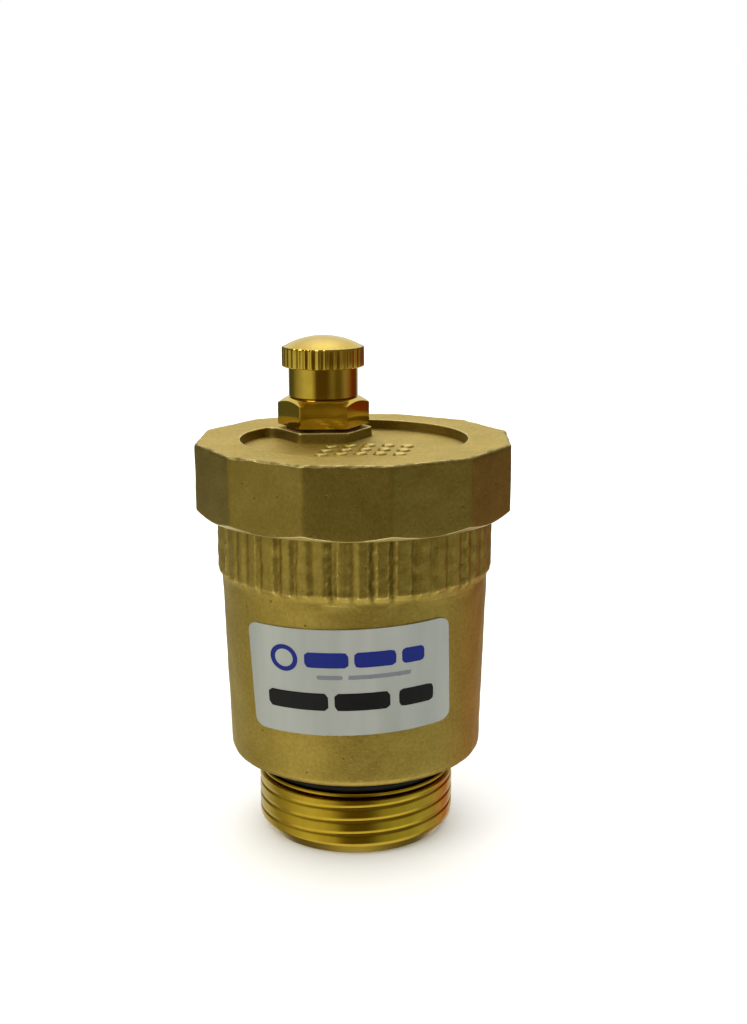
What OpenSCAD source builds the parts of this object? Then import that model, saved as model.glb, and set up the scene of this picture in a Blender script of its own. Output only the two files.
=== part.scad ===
// Automatic air vent for a heating circuit. Water fills the chamber from the threaded inlet.
// A float works a lever, the lever works a sprung stem, and the stem opens or shuts the vent
// valve on the cover. Air leaves through the valve while the dust cap is slack.
// Origin: centre of the inlet thread's bottom end. +Z is up, and -Y is the labelled front.
// Rest position: dry chamber, float down, vent valve open, dust cap and cover screwed home.

/* [Inlet] */
// Outside diameter of the male inlet thread
thread_d = 26.44; // [26.3:0.02:26.5]
// Pitch of the inlet thread
thread_pitch = 1.814; // [1.75:0.002:1.85]
// Height of the inlet thread above its bottom end
thread_h = 7.35; // [7.3:0.05:7.6]
// Diameter of the water passage through the inlet
inlet_bore_d = 19; // [17:0.5:20]
// Diameter of the thin collar that holds the inlet seal up
collar_d = 26; // [25:0.1:26.2]
// Thickness of the inlet seal's ring
inlet_seal_t = 2.5; // [2.2:0.1:2.5]

/* [Body] */
// Height of the body's underside above the thread's bottom end
body_z = 11.1; // [11:0.05:11.3]
// Diameter of the body at its underside
body_bottom_d = 33.74; // [33:0.1:34.5]
// Diameter of the body just below the fluted band
body_top_d = 35.34; // [35:0.1:36]
// Radius of the rounded edge round the underside
body_edge_r = 1.1; // [0.6:0.1:1.5]
// Diameter of the fluted band
band_d = 36.46; // [36.3:0.1:37]
// Height at which the fluted band reaches its full diameter
band_z = 36.4; // [36:0.1:37]
// Number of flutes round the band
flute_count = 45; // [36:1:50]
// Depth of one flute
flute_depth = 0.28; // [0.15:0.01:0.4]
// Diameter of the float chamber
chamber_d = 29.2; // [29:0.1:29.4]
// Height of the chamber's floor
floor_z = 13.6; // [13.4:0.1:13.7]
// Height of the ribs that keep the float off the floor
rib_h = 1.1; // [0.8:0.1:1.1]
// Height of the body's rim, inside the cover
rim_z = 49.3; // [49:0.05:49.3]

/* [Cover] */
// Width of the twelve-sided cover, corner to corner
cover_d = 42.18; // [41.8:0.05:43]
// Height of the cover's lower face
cover_z = 44; // [44:0.05:44.3]
// Height of the cover's top face
cover_top_z = 53.44; // [53.3:0.02:53.8]
// Turn of the cover's corners from the body's sides
cover_turn = 12.46; // [0:0.5:30]
// Diameter of the round recess in the top face
recess_d = 29.92; // [29:0.1:30.5]
// Depth of the recess
recess_depth = 1.34; // [1:0.02:1.4]
// Width of the six-sided boss under the vent valve, corner to corner
boss_d = 13.4; // [13:0.1:14]

/* [Vent valve] */
// Distance of the vent valve's axis from the body's axis
vent_offset = 9.53; // [9.3:0.01:9.6]
// Direction of the vent valve from the body's axis, from +X towards +Y
vent_angle = 116; // [90:1:150]
// Width of the valve's hexagon, corner to corner
hex_d = 12.58; // [12:0.1:13]
// Height of the hexagon's lower face
hex_z = 53.9; // [53.88:0.01:54]
// Height of the hexagon's upper face
hex_top_z = 57.67; // [57.5:0.01:57.7]
// Diameter of the valve's threaded nozzle and spigot
nozzle_d = 7; // [6.8:0.05:7]
// Height of the nozzle's top end
nozzle_top_z = 62.6; // [62.5:0.05:62.6]
// Diameter of the air passage through the valve
passage_d = 1.9; // [1.8:0.1:2.2]

/* [Dust cap] */
// Diameter of the cap's smooth skirt
skirt_d = 9.44; // [9.3:0.02:9.8]
// Diameter of the cap's knurled head
head_d = 11.22; // [11:0.02:11.6]
// Height of the head's lower face
head_z = 61.8; // [61.5:0.05:62]
// Height of the upper end of the knurls
dome_z = 64.5; // [64.2:0.05:64.7]
// Height of the top of the domed head
cap_top_z = 65.98; // [65.6:0.02:66.3]
// Number of knurls round the head
knurl_count = 36; // [24:1:40]

/* [Float and lever] */
// Distance that the float rises to shut the valve
float_travel = 3; // [2:0.1:3]
// Diameter of the float
float_d = 25.2; // [24:0.1:25.6]
// Height of the float's underside when it is down
float_z = 14.9; // [14.9:0.05:15.2]
// Height of the float's top when it is down
float_top_z = 39.5; // [38.5:0.1:39.6]
// Distance of the lever's pivot from the body's axis
pivot_offset = 12.6; // [12.55:0.01:12.65]
// Height of the lever's pivot
pivot_z = 45.4; // [45.3:0.05:45.4]
// Thickness of the lever's plate
lever_t = 0.8; // [0.6:0.1:0.8]
// Radius of the ball at the foot of the stem
ball_r = 1; // [0.9:0.05:1.1]

/* [Label] */
// Width of the label, measured straight across
label_w = 24.9; // [20:0.1:26]
// Height of the label
label_h = 13.9; // [12:0.1:15]
// Height of the label's centre
label_z = 25.4; // [24:0.1:27]
// Turn of the label round the body, to the right of the front
label_turn = -3; // [-10:0.5:10]
// Tilt of the label
label_tilt = 2.3; // [-3:0.1:3]

/* [Hidden] */
$fn = 96;
eps = 0.01;

// inlet thread: 55 degree flanks, drawn as closed ridges
thread_r = thread_d / 2;
thread_depth = 0.6404 * thread_pitch;
core_r = thread_r - thread_depth;
crest_w = 0.35;
flank_w = thread_depth * tan(27.5);
ridge_count = 4;
first_ridge_z = 0.95;
lead_in_r = thread_r - 1.27;
lead_in_h = 2.3;

// inlet seal groove, between the collar and the body's underside
undercut_r = 11.7;
collar_z = 8.15;
collar_top_z = 8.65;
groove_r = 10.7;
seal_recess_r = 13.25;
seal_recess_h = 0.2;
inlet_seal_r = inlet_seal_t / 2;

// body
inlet_r = inlet_bore_d / 2;
chamber_r = chamber_d / 2;
rim_bore_r = chamber_r + 0.3;
rim_bore_z = 43;
rim_r = 16.45;
shoulder_z = cover_z - 0.05;
band_step_z = band_z - 0.7;
flute_r = 0.7;
rib_w = 1.2;
rib_count = 4;

// cover
cover_thread_gap = 0.15;
ceiling_z = 50.1;
seal_groove_h = 0.8;
cover_seal_r = 0.75;
lower_chamfer_r = 20.1;
lower_chamfer_h = 0.79;
recess_z = cover_top_z - recess_depth;
pad_h = 0.3;

// vent valve
nozzle_r = nozzle_d / 2;
hex_r = hex_d / 2;
hex_chamfer_r = 4.9;
hex_turn = 1;
washer_r = 5.1;
socket_r = 2.2;
socket_top_z = 53.3;
spring_chamber_r = 1.9;
spring_chamber_z = 58;
plate_t = 0.8;
plate_z = ceiling_z - plate_t;
flange_h = 1;
flange_z = plate_z - flange_h;
flange_d = 6.92;
lip_h = 0.4;
lip_z = flange_z - lip_h;

// dust cap
cap_gap = 0.12;
cap_bore_top_z = 63.7;
dome_r = ((head_d / 2 - 0.2) ^ 2 + (cap_top_z - dome_z) ^ 2) / (2 * (cap_top_z - dome_z));
knurl_r = 0.3;

// lever works. The lever lies level when the valve is shut, and tilts when the float is down.
play = 0.1;
arm = pivot_offset - vent_offset;
lever_angle = atan(float_travel / pivot_offset);
ball_below_pivot = lever_t / 2 + play + ball_r;
stem_drop = arm * tan(lever_angle) + ball_below_pivot * (1 / cos(lever_angle) - 1);
knuckle_r = 1.1;
knuckle_half = 2.9;
pin_r = 0.6;
ear_in = 3.3;
ear_out = ear_in + plate_t;
ear_r = 1.2;
shaft_r = 0.6;
disc_r = 1.7;
disc_t = 0.5;
seal_t = 0.95;
disc_z = lip_z - 0.05 - seal_t - disc_t;
stem_top_z = 62.3;
clip_z = 61.4;
clip_t = 0.36;
clip_groove_r = 0.42;
spring_wire_r = 0.15;
spring_r = 1.35;
spring_turns = 5;

// float
float_r = float_d / 2;
float_wall = 0.9;
weld_z = float_z + 1;
stud_r = 0.95;
link_r = 0.5;
bush_top_z = float_top_z + 1;
link_pin_z = pivot_z + lever_t / 2 + play + link_r - float_travel;
link_half = 1.6;

// label
label_t = 0.12;
label_corner = 1.2;

function arc(cx, cz, r, a0, a1, n = 6) =
  [for (i = [0:n]) let (a = a0 + (a1 - a0) * i / n) [cx + r * cos(a), cz + r * sin(a)]];

// radius of the body's tapered side at height z
function side_r(z) =
  body_bottom_d / 2 + (body_top_d - body_bottom_d) / 2
  * (z - body_z - body_edge_r) / (band_step_z - body_z - body_edge_r);

module turned(points) {
  rotate_extrude() polygon(points);
}

module ring(r_in, r_out, z0, z1) {
  turned([[r_in, z0], [r_out, z0], [r_out, z1], [r_in, z1]]);
}

module torus(r_mid, r_tube, z) {
  translate([0, 0, z]) rotate_extrude() translate([r_mid, 0]) circle(r = r_tube);
}

module rod(r, z0, z1) {
  translate([0, 0, z0]) cylinder(r = r, h = z1 - z0);
}

module cross_rod(r, half) {
  rotate([90, 0, 0]) cylinder(r = r, h = 2 * half, center = true);
}

module slot(x0, x1, r) {
  translate([x0, 0]) circle(r = r);
  translate([x1, 0]) circle(r = r);
  translate([min(x0, x1), -r]) square([abs(x1 - x0), 2 * r]);
}

// frame whose +X runs from the body's axis towards the vent valve
module on_lever_line() {
  rotate([0, 0, vent_angle]) children();
}

module on_vent_axis() {
  translate([vent_offset * cos(vent_angle), vent_offset * sin(vent_angle), 0]) children();
}

// closed sweep of a round wire along a helix
module helix(r, wire_r, z0, z1, turns) {
  sides = 8;
  steps = 20 * turns;
  pts = [
    for (i = [0:steps]) for (j = [0:sides - 1])
      let (t = 360 * turns * i / steps, a = 360 * j / sides, q = r + wire_r * cos(a))
      [q * cos(t), q * sin(t), z0 + (z1 - z0) * i / steps + wire_r * sin(a)]
  ];
  walls = [
    for (i = [0:steps - 1]) for (j = [0:sides - 1])
      let (k = (j + 1) % sides)
      [i * sides + j, (i + 1) * sides + j, (i + 1) * sides + k, i * sides + k]
  ];
  caps = [[for (j = [0:sides - 1]) j], [for (j = [sides - 1:-1:0]) steps * sides + j]];
  polyhedron(points = pts, faces = concat(walls, caps));
}

module thread_ridges() {
  intersection() {
    for (i = [0:ridge_count - 1]) {
      z = first_ridge_z + i * thread_pitch;
      turned([
        [core_r - 0.3, z - crest_w / 2 - flank_w],
        [core_r, z - crest_w / 2 - flank_w],
        [thread_r, z - crest_w / 2],
        [thread_r, z + crest_w / 2],
        [core_r, z + crest_w / 2 + flank_w],
        [core_r - 0.3, z + crest_w / 2 + flank_w]
      ]);
    }
    turned([
      [0, 0],
      [lead_in_r, 0],
      [thread_r + eps, lead_in_h],
      [thread_r + eps, thread_h + 1],
      [0, thread_h + 1]
    ]);
  }
}

module body_turning() {
  turned(concat(
    [
      [inlet_r, 0],
      [lead_in_r - 0.2, 0],
      [core_r, 0.31],
      [core_r, thread_h],
      [undercut_r, thread_h + 0.3],
      [undercut_r, collar_z],
      [collar_d / 2, collar_z + 0.2],
      [collar_d / 2, collar_top_z],
      [groove_r, collar_top_z],
      [groove_r, body_z + seal_recess_h],
      [seal_recess_r, body_z + seal_recess_h],
      [seal_recess_r, body_z]
    ],
    arc(body_bottom_d / 2 - body_edge_r, body_z + body_edge_r, body_edge_r, -90, 0),
    [
      [body_top_d / 2, band_step_z],
      [band_d / 2, band_z],
      [band_d / 2, shoulder_z],
      [rim_r, shoulder_z],
      [rim_r, rim_z - 0.4],
      [rim_r - 0.4, rim_z],
      [rim_bore_r, rim_z],
      [rim_bore_r, rim_bore_z],
      [chamber_r, rim_bore_z - 0.3],
      [chamber_r, floor_z],
      [inlet_r, floor_z]
    ]
  ));
}

module flutes() {
  for (i = [0:flute_count - 1])
    rotate([0, 0, 360 * i / flute_count])
      translate([0, -(band_d / 2 - flute_depth + flute_r), band_step_z - 1])
        cylinder(r = flute_r, h = shoulder_z - band_step_z + 2, $fn = 24);
}

module body() {
  color("#a8924a") {
    difference() {
      union() {
        body_turning();
        thread_ridges();
      }
      flutes();
    }
    for (i = [0:rib_count - 1])
      rotate([0, 0, 45 + 360 * i / rib_count])
        translate([inlet_r + 0.4, -rib_w / 2, floor_z - 0.3])
          cube([chamber_r - inlet_r - 0.2, rib_w, rib_h + 0.3]);
  }
}

module inlet_oring() {
  color("#1b1b1b")
    torus(groove_r + inlet_seal_r, inlet_seal_r, collar_top_z + inlet_seal_r + 0.02);
}

module label() {
  low = label_z - label_h;
  high = label_z + label_h;
  gap = 0.05;
  color("#c9ccc9")
    intersection() {
      turned([
        [side_r(low) + gap, low],
        [side_r(low) + gap + label_t, low],
        [side_r(high) + gap + label_t, high],
        [side_r(high) + gap, high]
      ]);
      translate([0, 0, label_z]) rotate([90, 0, label_turn]) rotate([0, 0, label_tilt])
        linear_extrude(band_d) label_outline();
    }
}

module label_outline() {
  x = label_w / 2 - label_corner;
  y = label_h / 2 - label_corner;
  square([2 * x, label_h], center = true);
  square([label_w, 2 * y], center = true);
  for (sx = [-x, x])
    for (sy = [-y, y])
      translate([sx, sy]) circle(r = label_corner);
}

// the cone of the lower chamfer runs on past the corners
module cover_outside() {
  cone_r = cover_d / 2 + 1;
  slope = lower_chamfer_h / (cover_d / 2 - lower_chamfer_r);
  intersection() {
    translate([0, 0, cover_z]) rotate([0, 0, cover_turn])
      cylinder(r = cover_d / 2, h = cover_top_z - cover_z, $fn = 12);
    turned([
      [0, cover_z],
      [lower_chamfer_r, cover_z],
      [cone_r, cover_z + slope * (cone_r - lower_chamfer_r)],
      [cone_r, cover_top_z + 1],
      [0, cover_top_z + 1]
    ]);
  }
}

module boss() {
  on_vent_axis() rotate([0, 0, hex_turn])
    translate([0, 0, ceiling_z + 1])
      cylinder(r = boss_d / 2, h = cover_top_z - ceiling_z, $fn = 6);
}

// plain raised pads on the recess floor, in three short bowed rows
module recess_pads() {
  for (row = [-1:1])
    for (i = [-2:2])
      translate([1.4 + 2.5 * i + 0.6 * row, -2.5 + 3 * row - 0.2 * i * i, recess_z - 0.3])
        cylinder(r = 0.75, h = pad_h + 0.3);
}

module cover() {
  color("#a8924a") {
    difference() {
      cover_outside();
      rod(rim_r + cover_thread_gap, cover_z - 1, ceiling_z);
      ring(rim_bore_r - 0.05, rim_r + 0.05, ceiling_z - 1, ceiling_z + seal_groove_h);
      difference() {
        rod(recess_d / 2, recess_z, cover_top_z + 1);
        boss();
      }
      on_vent_axis() rod(nozzle_r + 0.05, ceiling_z - 1, cover_top_z + 1);
    }
    recess_pads();
  }
}

module cover_oring() {
  color("#1b1b1b") torus((rim_bore_r + rim_r) / 2, cover_seal_r, rim_z + 0.05 + cover_seal_r);
}

module valve_outside() {
  intersection() {
    translate([0, 0, hex_z]) rotate([0, 0, hex_turn])
      cylinder(r = hex_r, h = hex_top_z - hex_z, $fn = 6);
    turned([
      [0, hex_z],
      [hex_r + 0.2, hex_z],
      [hex_r + 0.2, hex_top_z - (hex_r - hex_chamfer_r + 0.2) * tan(30)],
      [hex_chamfer_r, hex_top_z],
      [0, hex_top_z]
    ]);
  }
  turned([
    [0, ceiling_z + 0.05],
    [nozzle_r - 0.4, ceiling_z + 0.05],
    [nozzle_r, ceiling_z + 0.45],
    [nozzle_r, nozzle_top_z - 0.4],
    [nozzle_r - 0.4, nozzle_top_z],
    [0, nozzle_top_z]
  ]);
}

module valve_body() {
  color("#b8922e")
    on_vent_axis()
      difference() {
        valve_outside();
        rod(socket_r, ceiling_z - 1, socket_top_z);
        rod(passage_d / 2, ceiling_z - 1, nozzle_top_z + 1);
        rod(spring_chamber_r, spring_chamber_z, nozzle_top_z + 1);
      }
}

module valve_washer() {
  color("#2a2a28") on_vent_axis() ring(nozzle_r + 0.05, washer_r, cover_top_z, hex_z);
}

module seat_nozzle() {
  color("#b8922e")
    on_vent_axis()
      difference() {
        union() {
          translate([0, 0, flange_z]) rotate([0, 0, vent_angle])
            cylinder(r = flange_d / 2, h = flange_h, $fn = 6);
          rod(socket_r - 0.05, flange_z + flange_h / 2, socket_top_z - 0.7);
          rod(passage_d / 2 + 0.55, lip_z, flange_z + flange_h / 2);
        }
        rod(passage_d / 2 - 0.05, lip_z - 1, socket_top_z);
      }
}

module nozzle_oring() {
  color("#1b1b1b") on_vent_axis() torus(1.6, 0.3, socket_top_z - 0.35);
}

module lever_bracket() {
  color("#b9bcc0")
    on_lever_line()
      difference() {
        union() {
          translate([5.6, -ear_out, plate_z])
            cube([pivot_offset + ear_r - 5.6, 2 * ear_out, plate_t]);
          for (side = [-1, 1])
            translate([pivot_offset, side * (ear_in + plate_t / 2), 0]) bracket_ear();
        }
        translate([vent_offset, 0, 0]) rod(socket_r + 0.05, plate_z - 1, ceiling_z + 1);
        translate([pivot_offset, 0, pivot_z]) cross_rod(pin_r + 0.02, ear_out + 1);
      }
}

module bracket_ear() {
  translate([0, 0, pivot_z]) cross_rod(ear_r, plate_t / 2);
  translate([-ear_r, -plate_t / 2, pivot_z]) cube([2 * ear_r, plate_t, ceiling_z - pivot_z]);
}

module pivot_pin() {
  head_t = 0.5;
  color("#c3c6ca")
    on_lever_line()
      translate([pivot_offset, 0, pivot_z]) {
        cross_rod(pin_r, ear_out + head_t / 2);
        for (side = [-1, 1])
          translate([0, side * (ear_out + head_t / 2), 0]) cross_rod(1, head_t / 2);
      }
}

module lever_outline() {
  difference() {
    union() {
      polygon([[0, -2.7], [0, 2.7], [-6, 2.6], [-13, 2.2], [-13, -2.2], [-6, -2.6]]);
      translate([-13, 0]) circle(r = 2.2);
    }
    slot(-6.3, -2.65, 0.75);
    translate([-6.3, 0]) circle(r = ball_r + 0.2);
    slot(-pivot_offset + 0.9, -pivot_offset - 1.3, link_r + 0.2);
  }
}

// the lever's own frame: pivot at the origin, arm along -X
module lever_shape() {
  difference() {
    union() {
      translate([0, 0, -lever_t / 2]) linear_extrude(lever_t) lever_outline();
      cross_rod(knuckle_r, knuckle_half);
    }
    cross_rod(pin_r + 0.05, knuckle_half + 1);
  }
}

module lever() {
  color("#b9bcc0")
    on_lever_line()
      translate([pivot_offset, 0, pivot_z]) rotate([0, -lever_angle, 0]) lever_shape();
}

module stem() {
  color("#b8922e")
    on_vent_axis() translate([0, 0, -stem_drop])
      difference() {
        union() {
          rod(shaft_r, pivot_z - ball_below_pivot, stem_top_z);
          rod(disc_r, disc_z, disc_z + disc_t);
          translate([0, 0, pivot_z - ball_below_pivot]) sphere(r = ball_r);
        }
        ring(clip_groove_r, shaft_r + 1, clip_z, clip_z + 0.4);
      }
}

module stem_seal() {
  color("#1b1b1b")
    on_vent_axis() translate([0, 0, -stem_drop])
      ring(shaft_r + 0.02, disc_r, disc_z + disc_t, disc_z + disc_t + seal_t);
}

module stem_spring() {
  color("#c3c6ca")
    on_vent_axis()
      helix(
        spring_r, spring_wire_r,
        spring_chamber_z + spring_wire_r + 0.03,
        clip_z - stem_drop - spring_wire_r - 0.03,
        spring_turns
      );
}

module spring_retainer() {
  color("#c3c6ca")
    on_vent_axis() translate([0, 0, -stem_drop])
      ring(clip_groove_r + 0.02, disc_r, clip_z + 0.02, clip_z + 0.02 + clip_t);
}

module dust_cap() {
  color("#b8922e")
    on_vent_axis()
      difference() {
        turned(concat(
          [
            [nozzle_r + cap_gap, hex_top_z + 0.05],
            [skirt_d / 2, hex_top_z + 0.05],
            [skirt_d / 2, head_z],
            [head_d / 2 - 0.3, head_z],
            [head_d / 2, head_z + 0.3],
            [head_d / 2, dome_z - 0.2]
          ],
          arc(0, cap_top_z - dome_r, dome_r, 90 - asin((head_d / 2 - 0.2) / dome_r), 90, 8),
          [[0, cap_bore_top_z], [nozzle_r + cap_gap, cap_bore_top_z]]
        ));
        for (i = [0:knurl_count - 1])
          rotate([0, 0, 360 * i / knurl_count])
            translate([head_d / 2 + knurl_r / 3, 0, head_z - 1])
              cylinder(r = knurl_r, h = dome_z - head_z + 2, $fn = 16);
      }
}

module cap_seal() {
  color("#2a2a28") on_vent_axis() rod(nozzle_r, nozzle_top_z + 0.05, cap_bore_top_z - 0.05);
}

module float_shell() {
  inside_r = float_r - float_wall;
  color("#e6e2d6")
    turned([
      [inside_r, weld_z],
      [float_r, weld_z],
      [float_r, float_top_z - 0.6],
      [float_r - 0.6, float_top_z],
      [stud_r + 0.02, float_top_z],
      [stud_r + 0.02, float_top_z - 1.8],
      [0, float_top_z - 1.8],
      [0, float_top_z - 2.8],
      [2.6, float_top_z - 2.8],
      [2.6, float_top_z - 1],
      [inside_r, float_top_z - 1]
    ]);
}

module float_base() {
  spigot_r = float_r - float_wall - 0.02;
  color("#e6e2d6")
    turned([
      [0, float_z],
      [float_r - 0.6, float_z],
      [float_r, float_z + 0.6],
      [float_r, weld_z],
      [spigot_r, weld_z],
      [spigot_r, weld_z + 1.5],
      [spigot_r - float_wall, weld_z + 1.5],
      [spigot_r - float_wall, float_z + float_wall],
      [0, float_z + float_wall]
    ]);
}

module float_bush() {
  color("#b8922e")
    difference() {
      union() {
        rod(stud_r, float_top_z - 1.75, float_top_z + 0.5);
        rod(1.5, float_top_z, bush_top_z);
      }
      rod(link_r + 0.02, float_top_z - 1.2, bush_top_z + 1);
    }
}

module float_link() {
  color("#c3c6ca") {
    rod(link_r, float_top_z - 1.15, link_pin_z);
    on_lever_line() translate([0, 0, link_pin_z]) cross_rod(link_r, link_half);
  }
}

body();
inlet_oring();
label();
cover();
cover_oring();
valve_body();
valve_washer();
seat_nozzle();
nozzle_oring();
lever_bracket();
pivot_pin();
lever();
stem();
stem_seal();
stem_spring();
spring_retainer();
dust_cap();
cap_seal();
float_shell();
float_base();
float_bush();
float_link();
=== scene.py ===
"""Looks of the automatic air vent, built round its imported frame.

Sizes are in millimetres. Heights, the names in Z, are above the inlet's mouth, and a pair is (low, high).
"""

import math

import bmesh
import bpy
import numpy as np
from mathutils import Matrix, Vector, geometry


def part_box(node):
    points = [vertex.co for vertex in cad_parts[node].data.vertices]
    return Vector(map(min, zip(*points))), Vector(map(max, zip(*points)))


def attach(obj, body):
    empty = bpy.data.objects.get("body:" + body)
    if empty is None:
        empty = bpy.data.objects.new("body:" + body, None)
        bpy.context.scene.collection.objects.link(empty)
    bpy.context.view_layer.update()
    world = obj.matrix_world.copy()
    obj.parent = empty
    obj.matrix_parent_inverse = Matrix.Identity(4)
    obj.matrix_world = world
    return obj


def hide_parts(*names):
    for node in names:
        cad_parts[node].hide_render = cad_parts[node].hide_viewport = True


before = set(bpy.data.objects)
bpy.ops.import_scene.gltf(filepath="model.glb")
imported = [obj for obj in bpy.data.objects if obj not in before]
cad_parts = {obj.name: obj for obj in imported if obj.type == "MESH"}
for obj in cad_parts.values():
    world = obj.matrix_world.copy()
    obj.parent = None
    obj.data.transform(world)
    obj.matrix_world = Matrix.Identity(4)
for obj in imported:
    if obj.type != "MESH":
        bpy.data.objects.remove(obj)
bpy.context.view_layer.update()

MM = 0.001
TAU = 2 * math.pi


# ---------------------------------------------------------------- sizes

def box(node):
    """Lowest and highest corner of a CAD node."""
    low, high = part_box(node)
    return np.array(low) / MM, np.array(high) / MM


def centre(node):
    low, high = box(node)
    return (low + high) / 2


AXIS = (0.0, 0.0)
VENT = tuple(centre("cap_seal")[:2])

# inlet thread with its root and flank as shares of the pitch, and the seal's groove above it
THREAD_R = 13.22
THREAD_PITCH = 1.814
THREAD_TOP = 8.04
THREAD_DEPTH = 0.12
THREAD_ROOT = 0.04
THREAD_FLANK = 0.34
LEAD_IN = 1.25
LEAD_SLOPE = 0.75
RUNOUT_SLOPE = 4
INLET_R = 9.5
UNDERCUT_R = 12.0
COLLAR_R = 13.0
COLLAR_Z = (8.15, 8.65)
GROOVE_R = 10.7

# body: the chamber from its underside up to the rim that takes the cover
UNDERSIDE_R = 13.3
SHOULDER_Z = 43.95
BODY_Z = 11.1
BODY_R = (16.87, 17.67)
BODY_EDGE = 1.1
BAND_Z = (35.7, 36.4)
BAND_R = box("body")[1][0]
BAND_SKIN = 0.03
FLUTES = 45
FLUTE_DEPTH = 0.45
COLUMNS_PER_FLUTE = 11
RIM_R = 16.45
RIM_Z = box("body")[1][2]
RIM_BORE_R = 14.9
RIM_BORE_Z = 43.1
CHAMBER_R = 14.6
CHAMBER_Z = 42.7
FLOOR_Z = 13.6
FLOOR_FILLET = 0.9
RIB_H = 1.1
NECK_PITCH = 1.5
NECK_DEPTH = 0.75
THREAD_GAP = 0.14

# cover, with its seal's groove as (inner radius, outer radius, height)
COVER_Z, COVER_TOP = box("cover")[0][2], box("cover")[1][2]
COVER_R = 21.09
COVER_TURN = math.radians(12.46)
COVER_SIDES = 12
COVER_BULGE = 0.03
CONE_R = 20.1
CONE_SLOPE = 0.79 / (COVER_R - CONE_R)
CEILING_Z = 50.1
SEAL_GROOVE = (14.85, 16.5, 0.8)
RECESS_R = 14.96
RECESS_Z = 52.1
RECESS_LIP = 0.16
RECESS_DRAFT = 0.06
BOSS_R = 6.7
BOSS_REACH = 0.6
HEX_TURN = math.radians(1.0)
PAD_R = 0.75
PAD_H = 0.34
PAD_GAP = (2.5, 3)
PADS_MIDDLE = (1.4, -2.5)
PAD_LEAN = 0.6
PAD_BOW = 0.2

# vent valve and its cap
NOZZLE_R = 3.5
NOZZLE_PITCH = 1.0
NOZZLE_DEPTH = 0.5
HEX_R = 6.29
HEX_Z = (53.9, 57.67)
HEX_CONE_R = 4.9
NOZZLE_TOP = 62.6
VENT_BORE_R = 1.9
VENT_HOLE_R = 0.95
SEAT_BORE_R = 2.2
VENT_HOLE_Z = (53.4, 58)
SPIGOT_Z = 50.15
CAP_LOW, CAP_HIGH = box("dust_cap")
SKIRT_R = 4.72
HEAD_R = 5.61
HEAD_Z = 61.8
DOME_Z = 64.5
CAP_TOP = CAP_HIGH[2]
CAP_BORE_R = NOZZLE_R + 0.12
CAP_BORE_TOP = 63.7
KNURLS = 36
KNURL_DEPTH = 0.14

# label, laid on the body
LABEL_T = 0.12
LABEL_GAP = 0.05
LABEL_W, LABEL_H = 24.9, 13.9
LABEL_CORNER = 1.2
LABEL_MID = 25.4
LABEL_TURN, LABEL_TILT = math.radians(-3.0), math.radians(2.3)
INK_T = 0.012


# ---------------------------------------------------------------- mesh making

def smooth_min(a, b, k):
    """Smaller of a and b, rounded over k."""
    h = np.clip(0.5 + 0.5 * (b - a) / k, 0, 1)
    return b * (1 - h) + a * h - k * h * (1 - h)


def smooth_max(a, b, k):
    return -smooth_min(-a, -b, k)


def step(a, b, x):
    """Smooth rise from 0 at a to 1 at b."""
    t = np.clip((x - a) / (b - a), 0, 1)
    return t * t * (3 - 2 * t)


def lumps(x, y, z, size, seed):
    """Uneven surface of a casting, about -1 to 1, with bumps about one size apart."""
    waves = 20
    rng = np.random.default_rng(seed)
    total = np.zeros(np.broadcast(x, y, z).shape)
    for _ in range(waves):
        way = rng.normal(size=3)
        way *= TAU / (size * rng.uniform(0.7, 1.8)) / np.linalg.norm(way)
        total += np.sin(way[0] * x + way[1] * y + way[2] * z + rng.uniform(0, TAU))
    return total / math.sqrt(waves)


def screw(angle, z, crest_r, depth, pitch, root=0.17, flank=0.67):
    """Radius of a right-hand thread with rounded crests. Root and flanks are shares of the pitch."""
    rounding = 0.3
    phase = (z / pitch - angle / TAU) % 1
    rise = 1 - np.abs(2 * phase - 1)
    height = smooth_min(smooth_max((rise - root) / flank, 0, rounding), 1, rounding)
    return crest_r - depth + depth * height


def column_angles(columns):
    return np.arange(columns) * TAU / columns


def note_curvature(mesh):
    """Stores how sharply the surface bends at each point: above 0 on edges, below 0 in grooves."""
    count, edges = len(mesh.vertices), len(mesh.edges)
    place, ends, facing = np.empty(count * 3), np.empty(edges * 2, np.int32), np.empty(count * 3)
    mesh.vertices.foreach_get("co", place)
    mesh.edges.foreach_get("vertices", ends)
    mesh.vertex_normals.foreach_get("vector", facing)
    place, ends, facing = place.reshape(-1, 3) / MM, ends.reshape(-1, 2), facing.reshape(-1, 3)
    total, share = np.zeros(count), np.zeros(count)
    for a, b in (ends.T, ends.T[::-1]):
        away = place[a] - place[b]
        square = np.maximum(np.sum(away * away, axis=1), 1e-4)
        np.add.at(total, a, 2 * np.sum(away * facing[a], axis=1) / square)
        np.add.at(share, a, 1)
    curve = mesh.attributes.new("curve", "FLOAT", "POINT")
    curve.data.foreach_set("value", (total / np.maximum(share, 1)).astype(np.float32))


def place_object(name, data):
    thing = bpy.data.objects.new(name, data)
    bpy.context.scene.collection.objects.link(thing)
    return thing


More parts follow.
